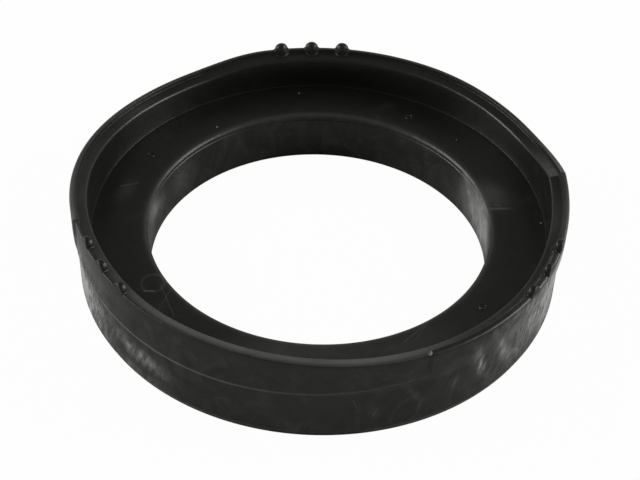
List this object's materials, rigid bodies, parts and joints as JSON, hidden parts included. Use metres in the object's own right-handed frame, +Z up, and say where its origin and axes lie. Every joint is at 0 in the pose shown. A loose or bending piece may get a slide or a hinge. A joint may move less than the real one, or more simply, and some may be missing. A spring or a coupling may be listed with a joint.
{
  "type": "coil spring insulator",
  "caption": "Moulded rubber ring that seats the end of a coil spring: thick flat floor with a large hole, raised wall with a stepped, varying rim, and small marker nubs on the rim.",
  "frame": {"origin": "on the axis of the through hole, in the plane of the flat underside", "axes": "+Z up along the hole's axis, out of the cup; +X about 5 degrees short of the highest corner of the rim, so that the picture looks along +Y"},
  "size_m": [0.1604, 0.1595, 0.037],
  "materials": {
    "rubber": "satin moulded black rubber with faint bloom and handling marks"
  },
  "bodies": {
    "root": {"spring_pad": "rubber"}
  },
  "joints": []
}
